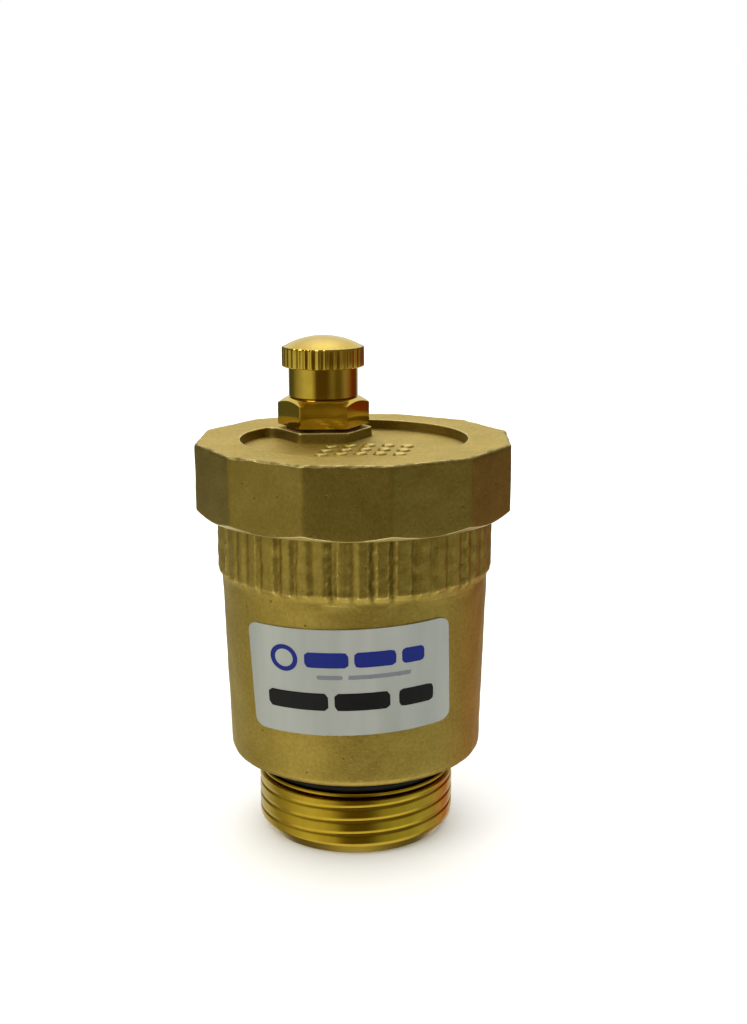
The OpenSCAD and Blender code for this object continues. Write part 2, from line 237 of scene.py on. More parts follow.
def make_piece(name, verts, faces, materials, body, replaced, sharp=38, slots=None):
    """A mesh piece in place, cleaned, shaded smooth with its sharp edges kept, riding on a body."""
    mesh = bpy.data.meshes.new(name)
    mesh.from_pydata((np.asarray(verts) * MM).tolist(), [], faces)
    for material in materials:
        mesh.materials.append(material)
    if slots is not None:
        mesh.polygons.foreach_set("material_index", np.asarray(slots, dtype=np.int32))
    work = bmesh.new()
    work.from_mesh(mesh)
    bmesh.ops.remove_doubles(work, verts=work.verts, dist=0.002 * MM)
    bmesh.ops.dissolve_degenerate(work, edges=work.edges, dist=0.001 * MM)
    bmesh.ops.recalc_face_normals(work, faces=work.faces)
    work.to_mesh(mesh)
    work.free()
    note_curvature(mesh)
    mesh.shade_smooth()
    mesh.set_sharp_from_angle(angle=math.radians(sharp))
    piece = place_object(name, mesh)
    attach(piece, body)
    if replaced:
        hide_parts(*replaced)
    return piece


def skin(rows, columns, axis=AXIS):
    """Points, faces and each face's row of a closed surface turned round an axis. The rows run up on the
    outside and down inside. A row is (radius, height), each of them one number or one per column."""
    angle = column_angles(columns)
    radius = np.array([np.broadcast_to(r, columns) for r, z in rows], float)
    height = np.array([np.broadcast_to(z, columns) for r, z in rows], float)
    points = np.stack([
        axis[0] + radius * np.cos(angle),
        axis[1] + radius * np.sin(angle),
        height,
    ], axis=-1).reshape(-1, 3)
    faces, face_rows = [], []
    count = len(rows)
    for i in range(count):
        low, high = i * columns, (i + 1) % count * columns
        for j in range(columns):
            k = (j + 1) % columns
            faces.append((low + j, low + k, high + k, high + j))
            face_rows.append(i)
    return points, faces, face_rows


def arc(x, z, r, start, end, steps):
    """Points of an arc in a profile, from one angle to the other, in degrees."""
    return [
        (x + r * math.cos(math.radians(a)), z + r * math.sin(math.radians(a)))
        for a in np.linspace(start, end, steps + 1)
    ]


def spread(start, end, gap):
    """Heights from start to end, about one gap apart, both ends included."""
    count = max(1, round(abs(end - start) / gap))
    return np.linspace(start, end, count + 1)


def polygon_radius(angle, corner_r, sides, turn, rounding):
    """Distance to a regular polygon's side in each direction, with rounded corners."""
    apothem = corner_r * math.cos(math.pi / sides)
    half = math.pi / sides
    offset = (angle - turn + half) % (TAU / sides) - half
    near, far = apothem / np.cos(offset - half), apothem / np.cos(offset + half)
    return smooth_min(near, far, rounding)


# ---------------------------------------------------------------- materials

class NodeTree:
    """Short ways to add nodes to a tree."""

    def __init__(self, tree):
        self.tree = tree

    def add(self, kind, **values):
        node = self.tree.nodes.new(kind)
        for key, value in values.items():
            setattr(node, key, value)
        return node

    def link(self, out, socket):
        self.tree.links.new(out, socket)

    def feed(self, value, socket):
        """Sets a socket to a number or a colour, or links it."""
        if isinstance(value, (int, float)):
            socket.default_value = value
        elif isinstance(value, tuple):
            socket.default_value = (*value, 1)
        else:
            self.link(value, socket)

    def ramp(self, value, *stops, mode="LINEAR"):
        """Colour or grey from a value. A stop is (position, colour or grey)."""
        node = self.add("ShaderNodeValToRGB")
        node.color_ramp.interpolation = mode
        points = node.color_ramp.elements
        while len(points) < len(stops):
            points.new(0.5)
        for point, (position, colour) in zip(points, stops):
            point.position = position
            point.color = (*colour, 1) if isinstance(colour, tuple) else (colour, colour, colour, 1)
        self.link(value, node.inputs["Fac"])
        return node.outputs["Color"]

    def mix(self, factor, a, b, blend="MIX"):
        node = self.add("ShaderNodeMix", data_type="RGBA", blend_type=blend)
        for value, socket in ((factor, node.inputs[0]), (a, node.inputs[6]), (b, node.inputs[7])):
            self.feed(value, socket)
        return node.outputs[2]

    def math(self, operation, *values):
        node = self.add("ShaderNodeMath", operation=operation)
        for value, socket in zip(values, node.inputs):
            self.feed(value, socket)
        return node.outputs[0]


class Nodes(NodeTree):
    """A new material and its shader."""

    def __init__(self, name):
        self.material = bpy.data.materials.new(name)
        self.material.use_nodes = True
        super().__init__(self.material.node_tree)
        self.shader = self.tree.nodes["Principled BSDF"]
        self.place = self.add("ShaderNodeTexCoord").outputs["Object"]

    def set(self, **values):
        for key, value in values.items():
            self.shader.inputs[key.replace("_", " ")].default_value = value

    def drive(self, **values):
        """Links values to the shader's sockets."""
        for key, value in values.items():
            self.link(value, self.shader.inputs[key.replace("_", " ")])

    def noise(self, size, detail=4, rough=0.55, place=None, distortion=0.0):
        """Noise with bumps about one size across, in millimetres."""
        node = self.add("ShaderNodeTexNoise")
        node.inputs["Scale"].default_value = 1 / (size * MM)
        node.inputs["Detail"].default_value = detail
        node.inputs["Roughness"].default_value = rough
        node.inputs["Distortion"].default_value = distortion
        self.link(place or self.place, node.inputs["Vector"])
        return node.outputs["Fac"]

    def bump(self, height, depth, strength, under=None):
        """Bump that stands depth millimetres proud."""
        node = self.add("ShaderNodeBump")
        node.inputs["Distance"].default_value = depth * MM
        node.inputs["Strength"].default_value = strength
        self.link(height, node.inputs["Height"])
        if under is not None:
            self.link(under, node.inputs["Normal"])
        return node.outputs["Normal"]

    def along(self, sx, sy, sz):
        """Object position with each axis stretched, for streaks."""
        node = self.add("ShaderNodeVectorMath", operation="MULTIPLY")
        self.link(self.place, node.inputs[0])
        node.inputs[1].default_value = (sx, sy, sz)
        return node.outputs[0]

    def round_axis(self, axis):
        """Distance from an upright axis plus height: lines on it run round the axis, like a tool's."""
        split = self.add("ShaderNodeSeparateXYZ")
        self.link(self.place, split.inputs[0])
        square = []
        for out, middle in zip(split.outputs, axis):
            away = self.math("SUBTRACT", out, middle * MM)
            square.append(self.math("MULTIPLY", away, away))
        distance = self.math("SQRT", self.math("ADD", *square))
        join = self.add("ShaderNodeCombineXYZ")
        self.link(self.math("ADD", distance, split.outputs[2]), join.inputs[0])
        return join.outputs[0]


def tinted(colour, times, more=0.0):
    return tuple(c * times + more for c in colour)


def cast_brass(name, shade=1.0, rough=0.40, relief=1.0):
    """Forged brass, grit blasted: olive gold, matt and grainy, with a few pits. Its edges are lighter, partly
    from wear and partly a painted highlight; its grooves carry painted shade; shade scales the whole colour
    as painted light or shade.
    """
    n = Nodes(name)
    dark, light = tinted((0.52, 0.39, 0.095), shade), tinted((0.61, 0.465, 0.125), shade)
    hollow, bright, groove_shade_tint = (0.16, 0.11, 0.03), (0.95, 0.79, 0.36), (0.20, 0.14, 0.035)
    grain = n.noise(0.16, detail=4, rough=0.65)
    mottle = n.noise(0.45, detail=4, rough=0.6)
    patches = n.noise(5.0, detail=3)
    colour = n.ramp(patches, (0.3, dark), (0.7, light))
    colour = n.mix(1.0, colour, n.ramp(mottle, (0.3, 0.84), (0.7, 1.1)), "MULTIPLY")
    pits = n.add("ShaderNodeTexVoronoi")
    pits.inputs["Scale"].default_value = 1 / (1.5 * MM)
    n.link(n.place, pits.inputs["Vector"])
    split = n.add("ShaderNodeSeparateColor")
    n.link(pits.outputs["Color"], split.inputs[0])
    rare = n.ramp(split.outputs[0], (0.72, 0.0), (0.78, 1.0))
    spot = n.ramp(pits.outputs["Distance"], (0.05, 1.0), (0.13, 0.0))
    pit = n.math("MULTIPLY", rare, spot)
    colour = n.mix(n.math("MULTIPLY", pit, 0.7), colour, hollow)
    curve = n.add("ShaderNodeAttribute", attribute_name="curve").outputs["Fac"]
    ragged = n.math("MULTIPLY_ADD", mottle, 1.6, -0.8)
    # Lighter edges from the curvature: partly real wear, partly a painted highlight where an edge would catch
    # the light.
    wear_and_highlight = n.ramp(n.math("MULTIPLY", n.math("ADD", curve, ragged), 0.2), (0.16, 0.0), (0.44, 1.0))
    colour = n.mix(n.math("MULTIPLY", wear_and_highlight, 0.85), colour, bright)
    # Painted shade: the colour is darkened in grooves and hollows, found from the surface's curvature.
    groove_shade = n.ramp(n.math("MULTIPLY", n.math("SUBTRACT", ragged, curve), 0.4), (0.12, 0.0), (0.62, 1.0))
    colour = n.mix(n.math("MULTIPLY", groove_shade, 0.55), colour, groove_shade_tint)
    matt = n.ramp(grain, (0.3, rough), (0.7, rough + 0.14))
    dents = n.noise(1.1, detail=2, distortion=1.0)
    normal = n.bump(dents, 0.06 * relief, 0.45, n.bump(pit, -0.06, 0.8))
    normal = n.bump(mottle, 0.05 * relief, 0.45, normal)
    normal = n.bump(grain, 0.04, 0.9, normal)
    n.drive(Base_Color=colour, Roughness=n.mix(wear_and_highlight, matt, (0.26, 0.26, 0.26)), Normal=normal)
    n.set(Metallic=1.0)
    return n.material


def turned_brass(name, axis, rough, tint=(0.80, 0.57, 0.10)):
    """Brass straight from the lathe: bright, with fine tool lines round its axis and faint handling marks."""
    n = Nodes(name)
    tool = n.noise(0.09, detail=3, rough=0.6, place=n.round_axis(axis))
    smears = n.noise(3.0, detail=4, rough=0.6)
    n.drive(
        Base_Color=n.ramp(smears, (0.35, tinted(tint, 0.86)), (0.65, tint)),
        Roughness=n.ramp(smears, (0.3, rough + 0.05), (0.7, rough)),
        Normal=n.bump(tool, 0.003, 0.3, n.bump(smears, 0.02, 0.1)),
    )
    n.set(Metallic=1.0)
    return n.material


def stainless(name, rough, streak):
    """Stainless steel, brushed along one way."""
    n = Nodes(name)
    lines = n.noise(0.08, detail=3, place=n.along(*streak))
    cloud = n.noise(2.5)
    n.drive(
        Base_Color=n.ramp(cloud, (0.3, (0.55, 0.56, 0.57)), (0.7, (0.66, 0.67, 0.68))),
        Roughness=n.ramp(lines, (0.3, rough), (0.7, rough + 0.14)),
        Normal=n.bump(lines, 0.004, 0.5),
    )
    n.set(Metallic=1.0)
    return n.material


def rubber(name, tint):
    """Moulded rubber with a faint bloom."""
    n = Nodes(name)
    bloom = n.noise(1.6, detail=4)
    grain = n.noise(0.12, detail=4)
    n.drive(
        Base_Color=n.ramp(bloom, (0.4, tint), (0.75, tinted(tint, 1.8, 0.003))),
        Roughness=n.ramp(grain, (0.3, 0.42), (0.7, 0.6)),
        Normal=n.bump(grain, 0.01, 0.5),
    )
    n.set(Specular_IOR_Level=0.12)
    return n.material


def fibre():
    """Pressed fibre washer, dark reddish brown."""
    n = Nodes("fibre_washer")
    strands = n.noise(0.25, detail=6, rough=0.7, distortion=2.0)
    n.drive(
        Base_Color=n.ramp(strands, (0.3, (0.03, 0.008, 0.003)), (0.7, (0.09, 0.03, 0.012))),
        Roughness=n.ramp(strands, (0.3, 0.7), (0.7, 0.9)),
        Normal=n.bump(strands, 0.02, 0.6),
    )
    return n.material


def float_plastic():
    """Moulded plastic, off white, with a fine matt skin."""
    n = Nodes("float_plastic")
    cloud = n.noise(6.0, detail=3)
    grain = n.noise(0.18, detail=3)
    n.drive(
        Base_Color=n.ramp(cloud, (0.3, (0.68, 0.64, 0.54)), (0.7, (0.78, 0.75, 0.66))),
        Roughness=n.ramp(grain, (0.3, 0.36), (0.7, 0.5)),
        Normal=n.bump(grain, 0.008, 0.5),
    )
    n.set(Subsurface_Weight=0.15, Subsurface_Scale=0.001)
    return n.material


def label_film():
    """Silver film with a satin grain that runs up and down."""
    n = Nodes("label_film")
    streaks = n.noise(0.5, detail=5, rough=0.6, place=n.along(1, 1, 0.04))
    broad = n.noise(5.0, detail=2, place=n.along(1, 1, 0.1))
    n.drive(
        Base_Color=n.ramp(broad, (0.3, (0.31, 0.33, 0.315)), (0.7, (0.41, 0.43, 0.41))),
        Roughness=n.ramp(streaks, (0.3, 0.34), (0.7, 0.46)),
        Normal=n.bump(streaks, 0.004, 0.35),
    )
    n.set(Metallic=0.35)
    return n.material


def ink(name, tint):
    """Printed ink, slightly uneven."""
    n = Nodes(name)
    cloud = n.noise(0.12, detail=3)
    n.drive(
        Base_Color=n.ramp(cloud, (0.35, tint), (0.8, tinted(tint, 1.4, 0.003))),
        Roughness=n.ramp(cloud, (0.3, 0.32), (0.7, 0.45)),
        Normal=n.bump(cloud, 0.003, 0.4),
    )
    n.set(Specular_IOR_Level=0.15)
    return n.material


CAST = cast_brass("cast_brass")
# Painted shade: the same cast brass darkened for the cover's sides and the recess wall.
CAST_SIDE_SHADED = cast_brass("cast_brass_side_shaded", 0.64)
# Painted shade: the same cast brass darkened for the fluted band, as if in the cover's shadow.
CAST_BAND_SHADED = cast_brass("cast_brass_band_shaded", 0.84)
# Painted light: the same cast brass lightened for the cover's top and recess floor; it is also rougher, with
# more relief.
CAST_TOP_LIT = cast_brass("cast_brass_top_lit", 1.26, rough=0.5, relief=1.7)
# Painted highlight: the same cast brass much lighter and smoother on the raised pads' tops.
CAST_RAISED_LIT = cast_brass("cast_brass_raised_lit", 1.45, rough=0.28)
# Painted shade: turned brass in a darker tint than the vent's, to stand in for the inlet thread's shade near
# the floor.
TURNED_SHADED = turned_brass("turned_brass", AXIS, 0.22, (0.58, 0.40, 0.04))
TURNED_VENT = turned_brass("turned_brass_vent", VENT, 0.11)
TURNED_KNURL = turned_brass("turned_brass_knurl", VENT, 0.15)
# Painted light: turned brass in a pale tint so that the cover's lower chamfer looks lit.
TURNED_RIM_LIT = turned_brass("turned_brass_cover_lit", AXIS, 0.36, (0.98, 0.88, 0.52))
RUBBER = rubber("black_rubber", (0.004, 0.004, 0.0045))


# ---------------------------------------------------------------- body

def flute_profile(angle):
    """How deep the flutes are in each direction, 0 to 1. They are cast, so no two are quite the same."""
    rng = np.random.default_rng(11)
    deep = np.zeros_like(angle)
    for k in range(FLUTES):
        middle = (k + rng.uniform(-0.16, 0.16)) * TAU / FLUTES - TAU / 4
        half = rng.uniform(0.6, 1.0)
        share = rng.uniform(0.5, 1.1)
        away = np.abs((angle - middle + math.pi) % TAU - math.pi) * BAND_R / half
        deep = np.maximum(deep, share * np.clip(1 - away**2, 0, 1) ** 1.8)
    return deep


def side_radius(z):
    """Radius of the body's tapered side."""
    share = (z - BODY_Z - BODY_EDGE) / (BAND_Z[0] - BODY_Z - BODY_EDGE)
    return BODY_R[0] + (BODY_R[1] - BODY_R[0]) * share


def inlet_rows(angle):
    """Mouth, thread, collar and seal groove, up to the edge of the cast underside."""
    rows = [(INLET_R + 0.3, 0), (THREAD_R - 1.5, 0)]
    for z in spread(0.04, THREAD_TOP, THREAD_PITCH / 16):
        r = screw(angle, z, THREAD_R, THREAD_DEPTH, THREAD_PITCH, THREAD_ROOT, THREAD_FLANK)
        r = smooth_min(r, THREAD_R - LEAD_IN + z * LEAD_SLOPE, 0.12)
        r = smooth_min(r, UNDERCUT_R + (THREAD_TOP - z) * RUNOUT_SLOPE, 0.15)
        rows.append((r, z))
    low, high = COLLAR_Z
    return rows + [
        (UNDERCUT_R, low - 0.05),
        (UNDERCUT_R + 0.1, low),
        (COLLAR_R - 0.15, low + 0.02),
        (COLLAR_R, low + 0.15),
        (COLLAR_R, high - 0.12),
        (COLLAR_R - 0.12, high),
        (GROOVE_R + 0.1, high),
        (GROOVE_R, high + 0.1),
        (GROOVE_R, BODY_Z + 0.1),
        (GROOVE_R + 0.1, BODY_Z + 0.2),
        (UNDERSIDE_R - 0.1, BODY_Z + 0.2),
        (UNDERSIDE_R, BODY_Z + 0.03),
    ]


def side_rows(x, y):
    """Cast underside, its rounded edge and the tapered side."""

    def cast_row(r, z, size=0.035):
        uneven = size * lumps(r * x, r * y, z, 4.5, 3) + 0.012 * lumps(r * x, r * y, z, 1.6, 4)
        return np.minimum(r + uneven, r + size), z

    rows = []
    edge_r, edge_z = BODY_R[0] - BODY_EDGE, BODY_Z + BODY_EDGE
    for r in spread(UNDERSIDE_R + 0.3, edge_r, 0.7):
        fade = step(UNDERSIDE_R + 0.3, UNDERSIDE_R + 1.7, r)
        rows.append((r, BODY_Z + 0.02 * lumps(r * x, r * y, 0.0, 3.5, 5) * fade))
    rows += [cast_row(r, z, 0.03) for r, z in arc(edge_r, edge_z, BODY_EDGE, -75, 0, 5)]
    rows += [cast_row(side_radius(z), z) for z in spread(edge_z + 0.8, BAND_Z[0] - 0.5, 0.95)]
    return rows


def band_rows(angle, x, y):
    """Fluted band: a ragged rounded foot, then flutes that waver on their way up to the shoulder."""
    around = BAND_R * x, BAND_R * y
    band_r = BAND_R - BAND_SKIN
    deep = flute_profile(angle)
    ragged = lumps(*around, 0.0, 2.6, 6)
    foot = []
    for up, share in ((-0.35, 0.0), (0.0, 0.06), (0.25, 0.3), (0.5, 0.68), (0.72, 0.93), (0.9, 1.0)):
        r = BODY_R[1] + (band_r - BODY_R[1]) * share
        foot.append((r - FLUTE_DEPTH * deep * step(0.0, 0.8, up), BAND_Z[0] + up * (1 + 0.12 * ragged)))
    band = []
    for z in spread(BAND_Z[1] + 0.5, SHOULDER_Z - 0.25, 0.5):
        deep = flute_profile(angle + 0.005 * lumps(*around, z, 0.9, 12))
        wear = 0.03 * lumps(*around, z, 1.8, 8)
        fade = 1 + 0.18 * lumps(*around, z * 0.35, 5.0, 9)
        band.append((np.minimum(band_r - FLUTE_DEPTH * deep * fade + wear, BAND_R), z))
    band += [
        (BAND_R - 0.08 - FLUTE_DEPTH * deep, SHOULDER_Z - 0.06),
        (BAND_R - 0.2 - FLUTE_DEPTH * deep * 0.8, SHOULDER_Z),
    ]
    return foot, band


def neck_rows(angle):
    """Thread that takes the cover, up to the rim."""
    root = RIM_R - NECK_DEPTH
    rows = [(root + 0.1, SHOULDER_Z)]
    for z in spread(SHOULDER_Z + 0.08, RIM_Z - 0.08, NECK_PITCH / 10):
        r = screw(angle, z, RIM_R, NECK_DEPTH, NECK_PITCH)
        r = smooth_min(r, root + (z - SHOULDER_Z) * 1.4, 0.12)
        rows.append((smooth_min(r, RIM_R - 0.45 + (RIM_Z - z) * 0.9, 0.1), z))
    return rows


def chamber_rows(angle):
    """From the rim down inside: bore, chamber, floor with its four ribs, and the inlet passage."""
    along = np.abs(angle % (TAU / 4) - TAU / 8)

    def rib(r):
        return FLOOR_Z + RIB_H * (1 - step(0.45, 0.75, along * r))

    rows = [
        (RIM_R - 0.6, RIM_Z),
        (RIM_BORE_R + 0.15, RIM_Z),
        (RIM_BORE_R, RIM_Z - 0.15),
        (RIM_BORE_R, RIM_BORE_Z),
        (CHAMBER_R, CHAMBER_Z),
        (CHAMBER_R, (CHAMBER_Z + FLOOR_Z) / 2),
        (CHAMBER_R, FLOOR_Z + 1.6),
    ]
    fillet = arc(CHAMBER_R - FLOOR_FILLET, FLOOR_Z + FLOOR_FILLET, FLOOR_FILLET, 0, -90, 4)
    for r, z in fillet + [(r, FLOOR_Z) for r in (12.6, 11.2, 10.2)]:
        rows.append((r, np.maximum(z, rib(r))))
    return rows + [
        (INLET_R + 0.45, FLOOR_Z),
        (INLET_R + 0.2, FLOOR_Z),
        (INLET_R, FLOOR_Z - 0.2),
        (INLET_R, FLOOR_Z / 2),
        (INLET_R, 0.3),
    ]


def build_body():
    """Float chamber with inlet thread, seal groove, fluted band and neck thread, as one closed skin."""
    columns = FLUTES * COLUMNS_PER_FLUTE
    angle = column_angles(columns)
    x, y = np.cos(angle), np.sin(angle)
    inlet, side = inlet_rows(angle), side_rows(x, y)
    foot, band = band_rows(angle, x, y)
    rows = inlet + side + foot + band + neck_rows(angle) + chamber_rows(angle)
    cast_from = len(inlet) - 1
    band_from = len(inlet + side + foot) - 1
    cast_to = len(inlet + side + foot + band)
    points, faces, face_rows = skin(rows, columns)
    # The fluted band takes a darkened cast brass and the turned parts a darkened turned brass, both painted
    # shade.
    cast, turned, fluted = range(3)
    slots = [
        turned if row < cast_from or row >= cast_to else fluted if row >= band_from else cast
        for row in face_rows
    ]
    return make_piece(
        "chamber_body", points, faces, [CAST, TURNED_SHADED, CAST_BAND_SHADED], "housing", ["body"],
        slots=slots,
    )


build_body()


# ---------------------------------------------------------------- flat outlines

def resample(loop, count):
    """The same closed outline with evenly spaced points."""
    closed = np.vstack([loop, loop[:1]])
    lengths = np.linalg.norm(np.diff(closed, axis=0), axis=1)
    along = np.concatenate([[0], np.cumsum(lengths)])
    at = np.arange(count) * along[-1] / count
    return np.stack([np.interp(at, along, closed[:, i]) for i in (0, 1)], axis=1)


def soften(loop, width):
    """Rounds a closed, evenly spaced outline by averaging along it. The width is in points."""
    reach = int(3 * width)
    weights = np.exp(-0.5 * (np.arange(-reach, reach + 1) / width) ** 2)
    weights /= weights.sum()
    return sum(w * np.roll(loop, k, axis=0) for w, k in zip(weights, range(-reach, reach + 1)))


def normals(loop):
    """Outward normals of an outline that runs anticlockwise."""
    ahead, behind = np.roll(loop, -1, axis=0), np.roll(loop, 1, axis=0)
    way = ahead - behind
    way /= np.linalg.norm(way, axis=1)[:, None]
    return np.stack([way[:, 1], -way[:, 0]], axis=1)


def circle(middle, r, count, start=0.0):
    a = start + column_angles(count)
    return np.stack([middle[0] + r * np.cos(a), middle[1] + r * np.sin(a)], axis=1)


def inside(points, loop):
    """Which points lie inside a closed outline."""
    result = np.zeros(len(points), bool)
    x, y = points[:, 0], points[:, 1]
    previous = loop[-1]
    for current in loop:
        crosses = (current[1] > y) != (previous[1] > y)
        rise = previous[1] - current[1]
        at = (previous[0] - current[0]) * (y - current[1]) / (rise if rise else 1e-12) + current[0]
        result ^= crosses & (x < at)
        previous = current
    return result


def between(points, loops):
    """Which points lie inside the first closed outline and outside the others."""
    keep = inside(points, loops[0])
    for hole in loops[1:]:
        keep &= ~inside(points, hole)
    return keep


def grid_between(loops, gap):
    """Points of a triangular grid between outlines, clear of their edges."""
    low, high = loops[0].min(0), loops[0].max(0)
    xs, ys = np.meshgrid(np.arange(low[0], high[0], gap), np.arange(low[1], high[1], gap * 0.866))
    xs[1::2] += gap / 2
    grid = np.column_stack([xs.ravel(), ys.ravel()])
    grid = grid[between(grid, loops)]
    edge = np.vstack(loops)
    clear = [np.min(np.sum((edge - point) ** 2, axis=1)) > (0.45 * gap) ** 2 for point in grid]
    return grid[np.array(clear, bool)]


class Shell:
    """Collects rings of points and the faces between them."""

    def __init__(self):
        self.points, self.faces, self.slots = [], [], []

    def ring(self, loop, z):
        start = sum(len(p) for p in self.points)
        self.points.append(np.column_stack([loop, np.broadcast_to(z, len(loop))]))
        return np.arange(start, start + len(loop))

    def wall(self, low, high, slot=0):
        """Faces between two rings with the same number of points."""
        ahead_low, ahead_high = np.roll(low, -1), np.roll(high, -1)
        for a, b, c, d in zip(low, ahead_low, ahead_high, high):
            self.faces.append((int(a), int(b), int(c), int(d)))
            self.slots.append(slot)

    def walls(self, rings, slot=0):
        for low, high in zip(rings, rings[1:]):
            self.wall(low, high, slot)

    def fill(self, outer, holes, gap, slot=0, uneven=None):
        """A face region between an outer ring and rings inside it, with points about one gap apart."""
        every = np.vstack(self.points)
        loops = [every[ring] for ring in (outer, *holes)]
        z = loops[0][0, 2]
        flat = [loop[:, :2] for loop in loops]
        extra = grid_between(flat, gap)
        heights = np.full(len(extra), z) if uneven is None else z + uneven(extra)
        self.points.append(np.column_stack([extra, heights]))
        ids = np.concatenate([outer, *holes, np.arange(len(every), len(every) + len(extra))])
        edges, base = [], 0
        for loop in flat:
            count = len(loop)
            edges += [(base + i, base + (i + 1) % count) for i in range(count)]
            base += count
        coords = [Vector(c) for c in np.vstack([*flat, extra])]
        placed, _, found, sources = geometry.delaunay_2d_cdt(coords, edges, [], 0, 1e-7)[:4]
        placed = np.array([tuple(v) for v in placed])
        triangles = np.array([t for t in found if len(t) == 3])
        middles = placed[triangles].mean(axis=1)
        for triangle in triangles[between(middles, flat)]:
            if all(sources[i] for i in triangle):
                self.faces.append(tuple(int(ids[sources[i][0]]) for i in triangle))
                self.slots.append(slot)


# ---------------------------------------------------------------- cover

def open_at_gap(points):
    """The same run of points, started just after its widest gap."""
    gaps = np.linalg.norm(np.roll(points, -1, axis=0) - points, axis=1)
    return np.roll(points, -(int(np.argmax(gaps)) + 1), axis=0)


def recess_outline():
    """The recess's edge: a circle, less the six-sided boss that grows into it from the rim."""
    count = 520
    corners = circle(VENT, BOSS_R, 6, HEX_TURN)
    corners[3] += BOSS_REACH * (corners[3] - corners[4])
    dense = circle(AXIS, RECESS_R, 4000)
    around = open_at_gap(dense[~inside(dense, corners)])
    side = resample(corners, 3000)
    side = open_at_gap(side[np.linalg.norm(side, axis=1) < RECESS_R])
    if np.linalg.norm(side[0] - around[-1]) > np.linalg.norm(side[-1] - around[-1]):
        side = side[::-1]
    joins = (around[0], around[-1])
    loop = resample(np.vstack([around, side]), 5 * count)
    tight, broad = soften(loop, 8), soften(loop, 50)
    away = np.min([np.linalg.norm(loop - join, axis=1) for join in joins], axis=0)
    share = step(6.5, 2.5, away)[:, None]
    return resample(tight * (1 - share) + broad * share, count)


def pad_places():
    """Middles of the raised pads, in three bowed rows."""
    x, y = PADS_MIDDLE
    return [
        (x + PAD_GAP[0] * i + PAD_LEAN * row, y + PAD_GAP[1] * row - PAD_BOW * i * i)
        for row in (-1, 0, 1)
        for i in range(-2, 3)
    ]


# the cover's material slots
# TOP, SIDE and PAD take lightened or darkened copies of the cast brass, and CHAMFER a pale turned brass:
# painted light and shade.
TOP, BORE, CHAMFER, SIDE, PAD = range(5)


def cover_outside(shell):
    """Cavity and thread from the ceiling down, then the lower face and the outside up. Returns the first
    ring, on the ceiling, and the last, at the top edge."""
    columns = 480
    angle = column_angles(columns)
    x, y = np.cos(angle), np.sin(angle)

    def polar(r, z):
        return shell.ring(np.stack([r * x, r * y], axis=1), z)

    side = polygon_radius(angle, COVER_R, COVER_SIDES, COVER_TURN, 0.2) - COVER_BULGE
    edge_z = COVER_Z + CONE_SLOPE * np.maximum(side - CONE_R, 0)
    groove_in, groove_out, groove_h = SEAL_GROOVE
    rings = [
        polar(groove_in, CEILING_Z),
        polar(groove_in, CEILING_Z + groove_h),
        polar(groove_out, CEILING_Z + groove_h),
        polar(groove_out, CEILING_Z + 0.02),
    ]
    for z in spread(CEILING_Z - 0.02, COVER_Z + 0.05, NECK_PITCH / 12):
        r = screw(angle, z, RIM_R, NECK_DEPTH, NECK_PITCH) + THREAD_GAP
        r = smooth_max(r, RIM_R + THREAD_GAP - (z - COVER_Z) * 0.9, 0.1)
        r = smooth_max(r, RIM_R + THREAD_GAP - (CEILING_Z - z) * 1.2, 0.1)
        rings.append(polar(r, z))
    rings.append(polar(RIM_R + 0.35, COVER_Z))
    machined = len(rings)
    rings += [polar(r, COVER_Z) for r in (RIM_R + 1.15, CONE_R - 0.15)]
    for share in (0.04, 0.35, 0.7, 0.93):
        r = CONE_R + (side - CONE_R) * share
        rings.append(polar(np.where(side > CONE_R, r, side), COVER_Z + (edge_z - COVER_Z) * share))
    cast_from = len(rings)
    for up in (0.0, 0.06, 0.3, 1.0):
        rings.append(polar(side - 0.02 * math.exp(-up * 6), edge_z + up))
    around = side * x, side * y
    for z in spread(COVER_Z + 2.9, COVER_TOP - 0.6, 0.75):
        uneven = COVER_BULGE * lumps(*around, z, 5.0, 21) + 0.012 * lumps(*around, z, 1.7, 22)
        rings.append(polar(side + np.minimum(uneven, COVER_BULGE), z))
    # The top edge's worn rounding, uneven round the cover. This is shape only, bent so that the edge catches
    # the light.
    wear_and_highlight = 1 + 0.3 * lumps(*around, 0.0, 2.2, 23)
    for pull, drop in ((0.0, 0.34), (0.015, 0.26), (0.05, 0.19), (0.19, 0.05), (0.26, 0.015), (0.34, 0.0)):
        rings.append(polar(side - pull * wear_and_highlight, COVER_TOP - drop * wear_and_highlight))
    shell.walls(rings[:machined], BORE)
    shell.walls(rings[machined - 1:cast_from + 1], CHAMFER)
    shell.walls(rings[cast_from:], SIDE)
    return rings[0], rings[-1]


def cover_recess(shell, rim_level):
    """Rounded lip, cast wall with some draft, and a fillet at its foot. Returns the lip and the foot."""
    edge = recess_outline()
    out = normals(edge)
    bend = [
        (RECESS_LIP * (1 - math.sin(a)), RECESS_LIP * (1 - math.cos(a)))
        for a in np.radians([5, 30, 60, 88])
    ]
    wall_top, wall_foot = rim_level - RECESS_LIP, RECESS_Z + RECESS_LIP
    rings = [shell.ring(edge + out * near, rim_level - far) for near, far in bend]
    for share in (0.35, 0.7):
        z = wall_top - (wall_top - wall_foot) * share
        rings.append(shell.ring(edge - out * RECESS_DRAFT * share, z))
    rings += [shell.ring(edge - out * (RECESS_DRAFT + far), RECESS_Z + near) for near, far in bend]
    shell.walls(rings[::-1], SIDE)
    shell.points[-1][:, 2] = RECESS_Z
    return rings[0], rings[-1]


